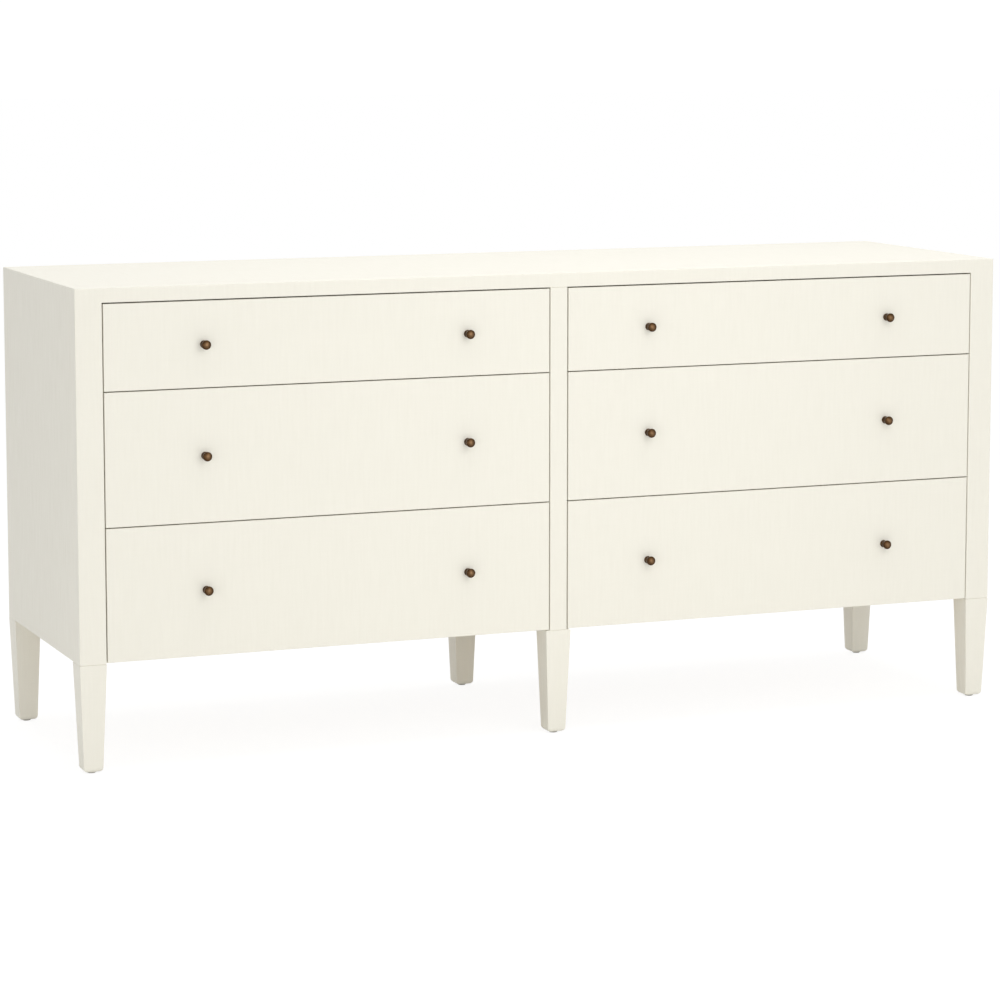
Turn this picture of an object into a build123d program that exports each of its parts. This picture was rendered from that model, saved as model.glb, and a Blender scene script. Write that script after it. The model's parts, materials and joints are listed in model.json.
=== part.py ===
"""Double dresser: a cream wrapped case on six tapered legs, with six inset drawers on telescopic slides.

The origin is on the floor, under the middle of the whole dresser. +Z is up, the drawers open towards -Y
and +X is to the right of someone facing the drawers. Sizes are in millimetres.
"""
import os

from build123d import *

# Case
CASE_WIDTH = 1829.0
CASE_DEPTH = 520.0
TOP_THICKNESS = 26.0
SIDE_THICKNESS = 49.0
PARTITION_THICKNESS = 34.0
BOTTOM_THICKNESS = 18.0
CASE_EDGE_RADIUS = 1.5
TOP_JOINT_BEVEL = 1.0

# Back panel, let into the rear of the case
BACK_THICKNESS = 6.0
BACK_INSET = 8.0
BACK_LAP = 10.0
BACK_SCREW_HEAD_RADIUS = 4.0
BACK_SCREW_HEAD_HEIGHT = 2.2
BACK_SCREW_RADIUS = 1.75
BACK_SCREW_LENGTH = 20.0
BACK_SCREW_ROWS = 4
BACK_SCREW_MARGIN = 70.0

# Drawer fronts and the gaps round them
FRONT_THICKNESS = 22.0
UPPER_FRONT_HEIGHT = 154.0
MIDDLE_FRONT_HEIGHT = 239.0
LOWER_FRONT_HEIGHT = 239.0
SIDE_REVEAL = 2.0
TOP_REVEAL = 2.5
ROW_REVEAL = 2.0
BOTTOM_REVEAL = 1.5
FRONT_EDGE_RADIUS = 1.0

# Stretchers behind the gaps between the rows, and the setback that clears the drawer fronts
STRETCHER_THICKNESS = 18.0
STRETCHER_DEPTH = 70.0
FRONT_SETBACK = 2.0

# Drawer boxes, dovetailed at the four corners
BOX_SIDE_THICKNESS = 12.0
BOX_END_THICKNESS = 14.0
BOX_FLOOR_CLEARANCE = 9.5
BOX_DROP = 20.0
BOX_REAR_CLEARANCE = 31.0
BOX_BOTTOM_THICKNESS = 6.0
BOX_BOTTOM_RISE = 12.0
GROOVE_DEPTH = 6.0
TAIL_PITCH = 48.0
PIN_WIDTH = 14.0
TAIL_ANGLE = 80.0

# Telescopic slides, folded from sheet steel
SLIDE_SPACE = 12.7
SLIDE_HEIGHT = 45.0
SLIDE_GAUGE = 1.2
SLIDE_LIP = 3.0
SLIDE_PLAY = 0.35
SLIDE_SETBACK = 3.0
SLIDE_EDGE_GAP = 1.4

# Knobs and the screws that hold them
KNOB_PROJECTION = 20.0
KNOB_BASE_RADIUS = 7.5
KNOB_BASE_HEIGHT = 2.0
KNOB_NECK_RADIUS = 6.0
KNOB_HEAD_RADIUS = 8.5
KNOB_CROWN_HEIGHT = 3.0
KNOB_RIM_HEIGHT = 3.0
KNOB_RIM_RADIUS = 1.3
KNOB_SPACING = 500.0
KNOB_PAIR_SHIFT = 10.0
KNOB_SCREW_RADIUS = 2.0
KNOB_SCREW_DEPTH = 10.0
KNOB_SCREW_HEAD_RADIUS = 4.5
KNOB_SCREW_HEAD_HEIGHT = 2.6
SCREW_CLEARANCE = 0.2

# Legs, their bolts and their foot glides
LEG_LENGTH = 195.0
LEG_FOOT_WIDTH = 34.5
LEG_EDGE_RADIUS = 2.5
LEG_FOOT_RADIUS = 8.0
LEG_BOLT_RADIUS = 4.0
LEG_BOLT_DEPTH = 40.0
INSERT_RADIUS = 6.0
INSERT_COVER = 3.0
GLIDE_RADIUS = 8.0
GLIDE_HEIGHT = 3.0
GLIDE_BEVEL = 1.0
GLIDE_NAIL_RADIUS = 1.25
GLIDE_NAIL_LENGTH = 14.0

# Heights, from the floor up
CASE_BOTTOM = GLIDE_HEIGHT + LEG_LENGTH
LOWER_ROW_Z = CASE_BOTTOM + BOTTOM_REVEAL
MIDDLE_ROW_Z = LOWER_ROW_Z + LOWER_FRONT_HEIGHT + ROW_REVEAL
UPPER_ROW_Z = MIDDLE_ROW_Z + MIDDLE_FRONT_HEIGHT + ROW_REVEAL
TOP_UNDERSIDE = UPPER_ROW_Z + UPPER_FRONT_HEIGHT + TOP_REVEAL
CASE_TOP = TOP_UNDERSIDE + TOP_THICKNESS
FLOOR_TOP = CASE_BOTTOM + BOTTOM_THICKNESS
INSERT_LENGTH = BOTTOM_THICKNESS - INSERT_COVER
ROWS = [
    ("upper", UPPER_ROW_Z, UPPER_FRONT_HEIGHT),
    ("middle", MIDDLE_ROW_Z, MIDDLE_FRONT_HEIGHT),
    ("lower", LOWER_ROW_Z, LOWER_FRONT_HEIGHT),
]

# Depths, from the drawer fronts to the back
FRONT_Y = (KNOB_PROJECTION - CASE_DEPTH) / 2
BACK_Y = FRONT_Y + CASE_DEPTH
PANEL_BACK_Y = BACK_Y - BACK_INSET
PANEL_FRONT_Y = PANEL_BACK_Y - BACK_THICKNESS
BOX_FRONT_Y = FRONT_Y + FRONT_THICKNESS
BOX_LENGTH = PANEL_FRONT_Y - BOX_REAR_CLEARANCE - BOX_FRONT_Y
BOX_BACK_Y = BOX_FRONT_Y + BOX_LENGTH
SLIDE_FRONT_Y = BOX_FRONT_Y + SLIDE_SETBACK
SLIDE_LENGTH = BOX_LENGTH - SLIDE_SETBACK
INNER_FRONT_Y = BOX_FRONT_Y + FRONT_SETBACK

# Widths, from the middle out
SIDE_INNER_X = CASE_WIDTH / 2 - SIDE_THICKNESS
PARTITION_FACE_X = PARTITION_THICKNESS / 2
OPENING_WIDTH = SIDE_INNER_X - PARTITION_FACE_X
OPENING_X = PARTITION_FACE_X + OPENING_WIDTH / 2
FRONT_WIDTH = OPENING_WIDTH - 2 * SIDE_REVEAL
BOX_WIDTH = OPENING_WIDTH - 2 * SLIDE_SPACE
BOX_RISE = BOTTOM_THICKNESS + BOX_FLOOR_CLEARANCE - BOTTOM_REVEAL
COLUMNS = [("left", -1), ("right", 1)]

# Leg places; a leg is as wide at the top as the side panel that it stands under
LEG_TOP_WIDTH = SIDE_THICKNESS
LEG_SIDE_X = CASE_WIDTH / 2 - LEG_TOP_WIDTH / 2
LEG_FRONT_Y = FRONT_Y + LEG_TOP_WIDTH / 2
LEG_BACK_Y = BACK_Y - LEG_TOP_WIDTH / 2
LEG_PLACES = {
    "front_left_leg": (-LEG_SIDE_X, LEG_FRONT_Y),
    "front_centre_leg": (0, LEG_FRONT_Y),
    "front_right_leg": (LEG_SIDE_X, LEG_FRONT_Y),
    "rear_left_leg": (-LEG_SIDE_X, LEG_BACK_Y),
    "rear_centre_leg": (0, LEG_BACK_Y),
    "rear_right_leg": (LEG_SIDE_X, LEG_BACK_Y),
}

# Back panel outline and its screws, one column of them into each side panel and into the partition
BACK_WIDTH = 2 * (SIDE_INNER_X + BACK_LAP)
BACK_HEIGHT = TOP_UNDERSIDE + BACK_LAP - CASE_BOTTOM
BACK_SCREW_X = SIDE_INNER_X + BACK_LAP / 2
BACK_SCREW_STEP = (TOP_UNDERSIDE - FLOOR_TOP - 2 * BACK_SCREW_MARGIN) / (BACK_SCREW_ROWS - 1)
BACK_SCREW_PLACES = [
    (x, FLOOR_TOP + BACK_SCREW_MARGIN + row * BACK_SCREW_STEP)
    for x in (-BACK_SCREW_X, 0, BACK_SCREW_X)
    for row in range(BACK_SCREW_ROWS)
]


def upright(y):
    """A plane that faces the front at depth y, with X to the right and Z up."""
    return Plane.XZ.offset(-y)


def save(piece, name):
    """Label a finished piece and write it under its own name."""
    piece.part.label = name
    export_step(piece.part, f"parts/{name}.step")


def board(x_range, y_range, z_range, mode=Mode.ADD):
    """A square-edged board between two X, two Y and two Z planes, added to the open piece."""
    width = x_range[1] - x_range[0]
    depth = y_range[1] - y_range[0]
    with BuildSketch(Plane.XY.offset(z_range[0])) as outline:
        with Locations(((x_range[0] + x_range[1]) / 2, (y_range[0] + y_range[1]) / 2)):
            Rectangle(width, depth)
    extrude(outline.sketch, amount=z_range[1] - z_range[0], mode=mode)


def drill(plane, places, radius, depth):
    """Round holes into the open piece, from a plane and along its normal."""
    with BuildSketch(plane) as mouths:
        with Locations(*places):
            Circle(radius)
    extrude(mouths.sketch, amount=depth, mode=Mode.SUBTRACT)


def back_recess():
    """The rebate that lets the back panel into the rear of the case."""
    half = BACK_WIDTH / 2
    board((-half, half), (PANEL_FRONT_Y, BACK_Y), (CASE_BOTTOM, CASE_BOTTOM + BACK_HEIGHT), Mode.SUBTRACT)


def insert_holes(names):
    """Blind holes for the threaded inserts above the named legs."""
    places = [LEG_PLACES[name] for name in names]
    drill(Plane.XY.offset(CASE_BOTTOM), places, INSERT_RADIUS, INSERT_LENGTH)


def back_screw_holes(x):
    """Pilot holes for one column of back panel screws."""
    places = [place for place in BACK_SCREW_PLACES if place[0] == x]
    depth = BACK_SCREW_LENGTH - BACK_THICKNESS + SCREW_CLEARANCE
    drill(upright(PANEL_FRONT_Y), places, BACK_SCREW_RADIUS + SCREW_CLEARANCE, depth)


os.makedirs("parts", exist_ok=True)

# Top panel, whose ends cover the side panels
with BuildPart() as top_panel:
    board((-CASE_WIDTH / 2, CASE_WIDTH / 2), (FRONT_Y, BACK_Y), (TOP_UNDERSIDE, CASE_TOP))
    upper_edges = top_panel.faces().sort_by(Axis.Z)[-1].edges()
    corner_edges = top_panel.edges().filter_by(Axis.Z)
    fillet(upper_edges + corner_edges, CASE_EDGE_RADIUS)
    back_recess()
save(top_panel, "top_panel")

# Side panels, one on each hand
for side, hand in COLUMNS:
    outer_x = hand * CASE_WIDTH / 2
    inner_x = hand * SIDE_INNER_X
    with BuildPart() as side_panel:
        x_range = (min(outer_x, inner_x), max(outer_x, inner_x))
        board(x_range, (FRONT_Y, BACK_Y), (CASE_BOTTOM, TOP_UNDERSIDE))
        fillet(side_panel.edges().filter_by(Axis.Z), CASE_EDGE_RADIUS)
        back_recess()
        insert_holes([f"front_{side}_leg", f"rear_{side}_leg"])
        back_screw_holes(hand * BACK_SCREW_X)
    save(side_panel, f"{side}_side_panel")

# Bottom panel, notched round the foot of the partition
with BuildPart() as bottom_panel:
    board((-SIDE_INNER_X, SIDE_INNER_X), (INNER_FRONT_Y, PANEL_FRONT_Y), (CASE_BOTTOM, FLOOR_TOP))
    foot_x = (-PARTITION_FACE_X, PARTITION_FACE_X)
    board(foot_x, (INNER_FRONT_Y, FRONT_Y + LEG_TOP_WIDTH), (CASE_BOTTOM, FLOOR_TOP), Mode.SUBTRACT)
    insert_holes(["rear_centre_leg"])
save(bottom_panel, "bottom_panel")

# Centre partition: it stands on the bottom panel, and its front foot reaches down to the centre leg
with BuildPart() as centre_partition:
    with BuildSketch(Plane.YZ.offset(-PARTITION_FACE_X)):
        with BuildLine():
            Polyline(
                (FRONT_Y, CASE_BOTTOM),
                (FRONT_Y + LEG_TOP_WIDTH, CASE_BOTTOM),
                (FRONT_Y + LEG_TOP_WIDTH, FLOOR_TOP),
                (PANEL_FRONT_Y, FLOOR_TOP),
                (PANEL_FRONT_Y, TOP_UNDERSIDE),
                (FRONT_Y, TOP_UNDERSIDE),
                close=True,
            )
        make_face()
    extrude(amount=PARTITION_THICKNESS)
    front_face = centre_partition.faces().sort_by(Axis.Y)[0]
    fillet(front_face.edges().filter_by(Axis.Z), CASE_EDGE_RADIUS)
    front_face = centre_partition.faces().sort_by(Axis.Y)[0]
    chamfer(front_face.edges().filter_by(Axis.X).sort_by(Axis.Z)[-1], TOP_JOINT_BEVEL)
    insert_holes(["front_centre_leg"])
    back_screw_holes(0)
save(centre_partition, "centre_partition")

# Back panel, drilled for its screws
with BuildPart() as back_panel:
    half_back = BACK_WIDTH / 2
    board((-half_back, half_back), (PANEL_FRONT_Y, PANEL_BACK_Y), (CASE_BOTTOM, CASE_BOTTOM + BACK_HEIGHT))
    drill(upright(PANEL_BACK_Y), BACK_SCREW_PLACES, BACK_SCREW_RADIUS + SCREW_CLEARANCE, BACK_THICKNESS)
save(back_panel, "back_panel")

# Back panel screws, with low round heads
with BuildPart() as back_panel_screws:
    with BuildSketch(upright(PANEL_BACK_Y)):
        with Locations(*BACK_SCREW_PLACES):
            Circle(BACK_SCREW_RADIUS)
    extrude(amount=BACK_SCREW_LENGTH)
    with BuildSketch(upright(PANEL_BACK_Y)):
        with Locations(*BACK_SCREW_PLACES):
            Circle(BACK_SCREW_HEAD_RADIUS)
    extrude(amount=-BACK_SCREW_HEAD_HEIGHT)
save(back_panel_screws, "back_panel_screws")

# Stretchers, hidden behind the gaps between the rows
with BuildPart() as stretchers:
    for row_z in (MIDDLE_ROW_Z, UPPER_ROW_Z):
        space_bottom = row_z - ROW_REVEAL - BOX_DROP
        space_top = row_z + BOX_RISE
        stretcher_z = (space_bottom + space_top - STRETCHER_THICKNESS) / 2
        z_range = (stretcher_z, stretcher_z + STRETCHER_THICKNESS)
        board((PARTITION_FACE_X, SIDE_INNER_X), (INNER_FRONT_Y, INNER_FRONT_Y + STRETCHER_DEPTH), z_range)
    mirror(about=Plane.YZ)
save(stretchers, "stretchers")


def leg_outline(plane):
    """The outline of a leg from one side: a taper with a rounded foot and eased top edges."""
    with BuildSketch(plane) as outline:
        with BuildLine():
            Polyline(
                (-LEG_FOOT_WIDTH / 2, GLIDE_HEIGHT),
                (LEG_FOOT_WIDTH / 2, GLIDE_HEIGHT),
                (LEG_TOP_WIDTH / 2, CASE_BOTTOM),
                (-LEG_TOP_WIDTH / 2, CASE_BOTTOM),
                close=True,
            )
        make_face()
        fillet(outline.vertices().group_by(Axis.Y)[0], LEG_FOOT_RADIUS)
        fillet(outline.vertices().group_by(Axis.Y)[-1], LEG_EDGE_RADIUS)
    return outline.sketch


# Legs, each the part that a front outline and a side outline share, with a bolt hole up the middle
for name, place in LEG_PLACES.items():
    with BuildPart() as leg:
        half_width = LEG_TOP_WIDTH / 2
        front_plane = Plane(origin=(*place, 0), x_dir=(1, 0, 0), z_dir=(0, -1, 0))
        side_plane = Plane(origin=(*place, 0), x_dir=(0, 1, 0), z_dir=(1, 0, 0))
        extrude(leg_outline(front_plane), amount=half_width, both=True)
        extrude(leg_outline(side_plane), amount=half_width, both=True, mode=Mode.INTERSECT)
        bolt_end = Plane.XY.offset(CASE_BOTTOM - LEG_BOLT_DEPTH)
        drill(bolt_end, [place], LEG_BOLT_RADIUS + SCREW_CLEARANCE, LEG_BOLT_DEPTH)
        drill(Plane.XY.offset(GLIDE_HEIGHT), [place], GLIDE_NAIL_RADIUS + SCREW_CLEARANCE, GLIDE_NAIL_LENGTH)
    save(leg, name)

# Leg bolts, half in the leg and half in the threaded insert above it
with BuildPart() as leg_bolts:
    with BuildSketch(Plane.XY.offset(CASE_BOTTOM - LEG_BOLT_DEPTH + SCREW_CLEARANCE)):
        with Locations(*LEG_PLACES.values()):
            Circle(LEG_BOLT_RADIUS)
    extrude(amount=LEG_BOLT_DEPTH + INSERT_LENGTH - 2 * SCREW_CLEARANCE)
save(leg_bolts, "leg_bolts")

# Threaded inserts, pressed into the underside of the case
with BuildPart() as leg_inserts:
    with BuildSketch(Plane.XY.offset(CASE_BOTTOM)):
        with Locations(*LEG_PLACES.values()):
            Circle(INSERT_RADIUS - SCREW_CLEARANCE)
            Circle(LEG_BOLT_RADIUS + SCREW_CLEARANCE, mode=Mode.SUBTRACT)
    extrude(amount=INSERT_LENGTH)
save(leg_inserts, "leg_inserts")

# Foot glides, each a low button on a nail
with BuildPart() as foot_glides:
    with BuildSketch(Plane.XY):
        with Locations(*LEG_PLACES.values()):
            Circle(GLIDE_RADIUS)
    extrude(amount=GLIDE_HEIGHT)
    chamfer(foot_glides.edges().group_by(Axis.Z)[0], GLIDE_BEVEL)
    with BuildSketch(Plane.XY.offset(GLIDE_HEIGHT)):
        with Locations(*LEG_PLACES.values()):
            Circle(GLIDE_NAIL_RADIUS)
    extrude(amount=GLIDE_NAIL_LENGTH - SCREW_CLEARANCE)
save(foot_glides, "foot_glides")

# Slide sections. X runs from the case towards the drawer, Y is up from the slide's centre line.
# Each is half a folded strip, mirrored: the lips of one member trap the next, with play all round.
CABINET_HALF = SLIDE_HEIGHT / 2
MIDDLE_HALF = CABINET_HALF - SLIDE_GAUGE - SLIDE_PLAY
FOOT_HALF = MIDDLE_HALF - SLIDE_GAUGE - SLIDE_PLAY
DRAWER_HALF = MIDDLE_HALF - SLIDE_GAUGE - SLIDE_LIP - SLIDE_PLAY
CABINET_REACH = SLIDE_SPACE - SLIDE_EDGE_GAP
MIDDLE_START = SLIDE_GAUGE + SLIDE_PLAY
MIDDLE_REACH = CABINET_REACH - SLIDE_GAUGE - SLIDE_PLAY
DRAWER_START = MIDDLE_START + SLIDE_GAUGE + SLIDE_PLAY


def channel(start, reach, half_height):
    """The section of a C channel with inward lips, open towards the drawer."""
    inner = half_height - SLIDE_GAUGE
    with BuildSketch() as section:
        with BuildLine():
            Polyline(
                (start, 0),
                (start, half_height),
                (reach, half_height),
                (reach, inner - SLIDE_LIP),
                (reach - SLIDE_GAUGE, inner - SLIDE_LIP),
                (reach - SLIDE_GAUGE, inner),
                (start + SLIDE_GAUGE, inner),
                (start + SLIDE_GAUGE, 0),
                close=True,
            )
        make_face()
        mirror(about=Plane.XZ)
    return section.sketch


def hat():
    """The section of the drawer member: a web on the drawer, two flanges and two outward feet."""
    inner = DRAWER_HALF - SLIDE_GAUGE
    with BuildSketch() as section:
        with BuildLine():
            Polyline(
                (SLIDE_SPACE, 0),
                (SLIDE_SPACE, DRAWER_HALF),
                (DRAWER_START + SLIDE_GAUGE, DRAWER_HALF),
                (DRAWER_START + SLIDE_GAUGE, FOOT_HALF),
                (DRAWER_START, FOOT_HALF),
                (DRAWER_START, inner),
                (SLIDE_SPACE - SLIDE_GAUGE, inner),
                (SLIDE_SPACE - SLIDE_GAUGE, 0),
                close=True,
            )
        make_face()
        mirror(about=Plane.XZ)
    return section.sketch


CABINET_SECTION = channel(0, CABINET_REACH, CABINET_HALF)
MIDDLE_SECTION = channel(MIDDLE_START, MIDDLE_REACH, MIDDLE_HALF)
DRAWER_SECTION = hat()


def slide_height(row_z, front_height):
    """The height of a slide's centre line: half way up the side of its drawer box."""
    return row_z + (BOX_RISE + front_height - BOX_DROP) / 2


def slide_bars(section, places):
    """Straight slide members of one section, as long as the slide, with their case faces at the places."""
    with BuildSketch(upright(SLIDE_FRONT_Y)) as ends:
        with Locations(*places):
            add(section)
    extrude(ends.sketch, amount=-SLIDE_LENGTH)


# Cabinet members, screwed to the side panels and to both faces of the partition
with BuildPart() as cabinet_slides:
    case_faces = (-SIDE_INNER_X, PARTITION_FACE_X)
    places = [(x, slide_height(row_z, height)) for x in case_faces for _, row_z, height in ROWS]
    slide_bars(CABINET_SECTION, places)
    mirror(about=Plane.YZ)
save(cabinet_slides, "cabinet_slides")


def tail_faces(x, box_z):
    """Faces of one box side's dovetails: wide at the ends of the box, narrow where they meet the board."""
    height = box_z[1] - box_z[0]
    count = max(1, round(height / TAIL_PITCH))
    pitch = height / count
    centres = [box_z[0] + (number + 0.5) * pitch for number in range(count)]
    with BuildSketch(Plane.YZ.offset(x)) as tails:
        with Locations(*[(BOX_FRONT_Y + BOX_END_THICKNESS / 2, z) for z in centres]):
            Trapezoid(pitch - PIN_WIDTH, BOX_END_THICKNESS, TAIL_ANGLE, rotation=-90)
        with Locations(*[(BOX_BACK_Y - BOX_END_THICKNESS / 2, z) for z in centres]):
            Trapezoid(pitch - PIN_WIDTH, BOX_END_THICKNESS, TAIL_ANGLE, rotation=90)
    return tails.sketch


def knob_profile(plane):
    """Half the section of a knob on a plane whose X is the radius and whose Y runs back to the front."""
    bore = KNOB_SCREW_RADIUS + SCREW_CLEARANCE
    crown_y = -KNOB_PROJECTION
    rim_front_y = crown_y + KNOB_CROWN_HEIGHT
    rim_back_y = rim_front_y + KNOB_RIM_HEIGHT
    neck_y = rim_back_y + KNOB_HEAD_RADIUS - KNOB_NECK_RADIUS
    flare = KNOB_BASE_RADIUS - KNOB_NECK_RADIUS
    crown_radius = (KNOB_HEAD_RADIUS**2 + KNOB_CROWN_HEIGHT**2) / (2 * KNOB_CROWN_HEIGHT)
    with BuildSketch(plane) as half_section:
        with BuildLine():
            RadiusArc((0, crown_y), (KNOB_HEAD_RADIUS, rim_front_y), -crown_radius)
            Polyline(
                (KNOB_HEAD_RADIUS, rim_front_y),
                (KNOB_HEAD_RADIUS, rim_back_y),
                (KNOB_NECK_RADIUS, neck_y),
                (KNOB_NECK_RADIUS, -KNOB_BASE_HEIGHT - flare),
                (KNOB_BASE_RADIUS, -KNOB_BASE_HEIGHT),
                (KNOB_BASE_RADIUS, 0),
                (bore, 0),
                (bore, -KNOB_SCREW_DEPTH),
                (0, -KNOB_SCREW_DEPTH),
                (0, crown_y),
            )
        make_face()
        rim_corners = half_section.vertices().group_by(Axis.X)[-1]
        fillet(rim_corners.sort_by(Axis.Y)[0], KNOB_RIM_RADIUS)
    return half_section.sketch


# Drawers: three rows in each of the two columns
for side, hand in COLUMNS:
    column_x = hand * OPENING_X
    left_face_x = column_x - OPENING_WIDTH / 2
    centre_plane = Plane.YZ.offset(column_x)
    knob_pair_x = column_x - hand * KNOB_PAIR_SHIFT
    box_x = (column_x - BOX_WIDTH / 2, column_x + BOX_WIDTH / 2)
    for row, row_z, front_height in ROWS:
        drawer = f"{row}_{side}"
        box_z = (row_z + BOX_RISE, row_z + front_height - BOX_DROP)
        knob_z = row_z + front_height / 2
        knob_places = [(knob_pair_x - KNOB_SPACING / 2, knob_z), (knob_pair_x + KNOB_SPACING / 2, knob_z)]
        knob_hole_radius = KNOB_SCREW_RADIUS + SCREW_CLEARANCE

        # The bottom reaches into grooves in all four walls of the box
        wall = BOX_SIDE_THICKNESS - GROOVE_DEPTH
        end_wall = BOX_END_THICKNESS - GROOVE_DEPTH
        floor_z = box_z[0] + BOX_BOTTOM_RISE
        floor_ranges = (
            (box_x[0] + wall, box_x[1] - wall),
            (BOX_FRONT_Y + end_wall, BOX_BACK_Y - end_wall),
            (floor_z, floor_z + BOX_BOTTOM_THICKNESS),
        )

        # Front panel
        with BuildPart() as front:
            front_x = (column_x - FRONT_WIDTH / 2, column_x + FRONT_WIDTH / 2)
            board(front_x, (FRONT_Y, BOX_FRONT_Y), (row_z, row_z + front_height))
            fillet(front.faces().sort_by(Axis.Y)[0].edges(), FRONT_EDGE_RADIUS)
            drill(upright(BOX_FRONT_Y), knob_places, knob_hole_radius, FRONT_THICKNESS)
        save(front, f"{drawer}_drawer_front")

        # Box sides, which carry the tails
        with BuildPart() as box_sides:
            board_y = (BOX_FRONT_Y + BOX_END_THICKNESS, BOX_BACK_Y - BOX_END_THICKNESS)
            board((box_x[0], box_x[0] + BOX_SIDE_THICKNESS), board_y, box_z)
            extrude(tail_faces(box_x[0], box_z), amount=BOX_SIDE_THICKNESS)
            mirror(about=centre_plane)
            board(*floor_ranges, Mode.SUBTRACT)
        save(box_sides, f"{drawer}_drawer_sides")

        # Box front and back, which carry the pins
        with BuildPart() as box_ends:
            board(box_x, (BOX_FRONT_Y, BOX_FRONT_Y + BOX_END_THICKNESS), box_z)
            board(box_x, (BOX_BACK_Y - BOX_END_THICKNESS, BOX_BACK_Y), box_z)
            for tail_x in (box_x[0], box_x[1] - BOX_SIDE_THICKNESS):
                extrude(tail_faces(tail_x, box_z), amount=BOX_SIDE_THICKNESS, mode=Mode.SUBTRACT)
            board(*floor_ranges, Mode.SUBTRACT)
            drill(upright(BOX_FRONT_Y + BOX_END_THICKNESS), knob_places, knob_hole_radius, BOX_END_THICKNESS)
        save(box_ends, f"{drawer}_drawer_ends")

        # Box bottom
        with BuildPart() as box_bottom:
            board(*floor_ranges)
        save(box_bottom, f"{drawer}_drawer_bottom")

        # Knobs, each with the screw that comes through from inside the box
        with BuildPart() as knobs:
            knob_origin = (knob_places[0][0], FRONT_Y, knob_z)
            knob_plane = Plane(origin=knob_origin, x_dir=(1, 0, 0), z_dir=(0, 0, 1))
            revolve(knob_profile(knob_plane), axis=Axis(knob_origin, (0, 1, 0)))
            inside_y = BOX_FRONT_Y + BOX_END_THICKNESS
            with BuildSketch(upright(inside_y)):
                with Locations(knob_places[0]):
                    Circle(KNOB_SCREW_RADIUS)
            extrude(amount=inside_y - FRONT_Y + KNOB_SCREW_DEPTH - SCREW_CLEARANCE)
            with BuildSketch(upright(inside_y)):
                with Locations(knob_places[0]):
                    Circle(KNOB_SCREW_HEAD_RADIUS)
            extrude(amount=-KNOB_SCREW_HEAD_HEIGHT)
            mirror(about=Plane.YZ.offset(knob_pair_x))
        save(knobs, f"{drawer}_drawer_knobs")

        # Slide members that move: one pair on the box, one pair between it and the case
        member_place = (left_face_x, slide_height(row_z, front_height))
        with BuildPart() as drawer_slides:
            slide_bars(DRAWER_SECTION, [member_place])
            mirror(about=centre_plane)
        save(drawer_slides, f"{drawer}_drawer_slides")

        with BuildPart() as middle_slides:
            slide_bars(MIDDLE_SECTION, [member_place])
            mirror(about=centre_plane)
        save(middle_slides, f"{drawer}_middle_slides")
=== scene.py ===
"""Double dresser: woven wrap, wood, brass and steel finishes, turned knobs, screw heads and a plain studio.

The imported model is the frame: metres, Z up, the drawers open towards -Y and +X is to the right of someone
who faces them. Every operator below dresses one group of pieces.
"""
import json
import math

import bpy
import numpy as np
from bpy.props import FloatProperty, FloatVectorProperty, IntProperty, PointerProperty
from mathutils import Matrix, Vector

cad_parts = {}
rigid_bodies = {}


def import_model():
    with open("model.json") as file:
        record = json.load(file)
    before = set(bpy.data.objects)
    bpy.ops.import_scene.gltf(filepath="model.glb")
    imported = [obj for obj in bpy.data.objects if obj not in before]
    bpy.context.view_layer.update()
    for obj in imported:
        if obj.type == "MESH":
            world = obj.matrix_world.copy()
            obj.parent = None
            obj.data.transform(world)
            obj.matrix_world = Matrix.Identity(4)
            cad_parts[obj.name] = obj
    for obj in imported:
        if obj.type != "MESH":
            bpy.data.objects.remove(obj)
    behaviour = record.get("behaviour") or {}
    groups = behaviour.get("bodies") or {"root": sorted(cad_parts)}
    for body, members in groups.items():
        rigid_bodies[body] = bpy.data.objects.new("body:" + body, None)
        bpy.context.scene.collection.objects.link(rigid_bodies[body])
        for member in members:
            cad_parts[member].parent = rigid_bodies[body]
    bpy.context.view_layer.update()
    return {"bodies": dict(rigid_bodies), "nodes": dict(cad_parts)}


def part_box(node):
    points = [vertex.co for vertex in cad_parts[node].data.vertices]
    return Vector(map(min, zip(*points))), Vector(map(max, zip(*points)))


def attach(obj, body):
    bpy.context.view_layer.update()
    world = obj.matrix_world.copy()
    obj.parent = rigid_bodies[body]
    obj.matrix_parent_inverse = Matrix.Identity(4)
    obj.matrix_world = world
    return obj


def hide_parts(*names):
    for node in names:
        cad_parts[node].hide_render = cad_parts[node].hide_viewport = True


bl_info = {
    "name": "Double Dresser Finishes",
    "version": (1, 0, 0),
    "blender": (4, 5, 0),
    "location": "View3D > Sidebar > Dresser",
    "description": "Dresses a packed double dresser with its finishes, knobs, screws and a studio",
    "category": "Object",
}

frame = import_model()
MM = 0.001

DRAWERS = sorted(body[: -len("_drawer")] for body in frame["bodies"] if body.endswith("_drawer"))
LEGS = [name for name in frame["nodes"] if name.endswith("_leg")]
CASE_PANELS = ["top_panel", "left_side_panel", "right_side_panel", "centre_partition"]
SOFTBOXES = ["top", "front", "left", "low"]
X_AXIS, Y_AXIS, Z_AXIS = range(3)
FORWARD = (0, -1, 0)
BACKWARD = (0, 1, 0)

# A face looks along an axis where its normal has more than this of it.
SQUARELY = 0.7
# How far each corner of a knob's outline is cut back to be rounded, from the rim to the foot.
KNOB_ROUNDING = np.array([0.7, 1.2, 1.0, 0.9, 0.3, 0.05]) * MM
# Width of the camera's frame in millimetres, and how far the camera sees in metres.
SENSOR_WIDTH = 36.0
VIEW_REACH = 200.0


def colour(name, description, default):
    """A linear colour that the user can change."""
    return FloatVectorProperty(
        name=name, description=description, default=default, subtype="COLOR", size=3, min=0.0, max=1.0
    )


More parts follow.
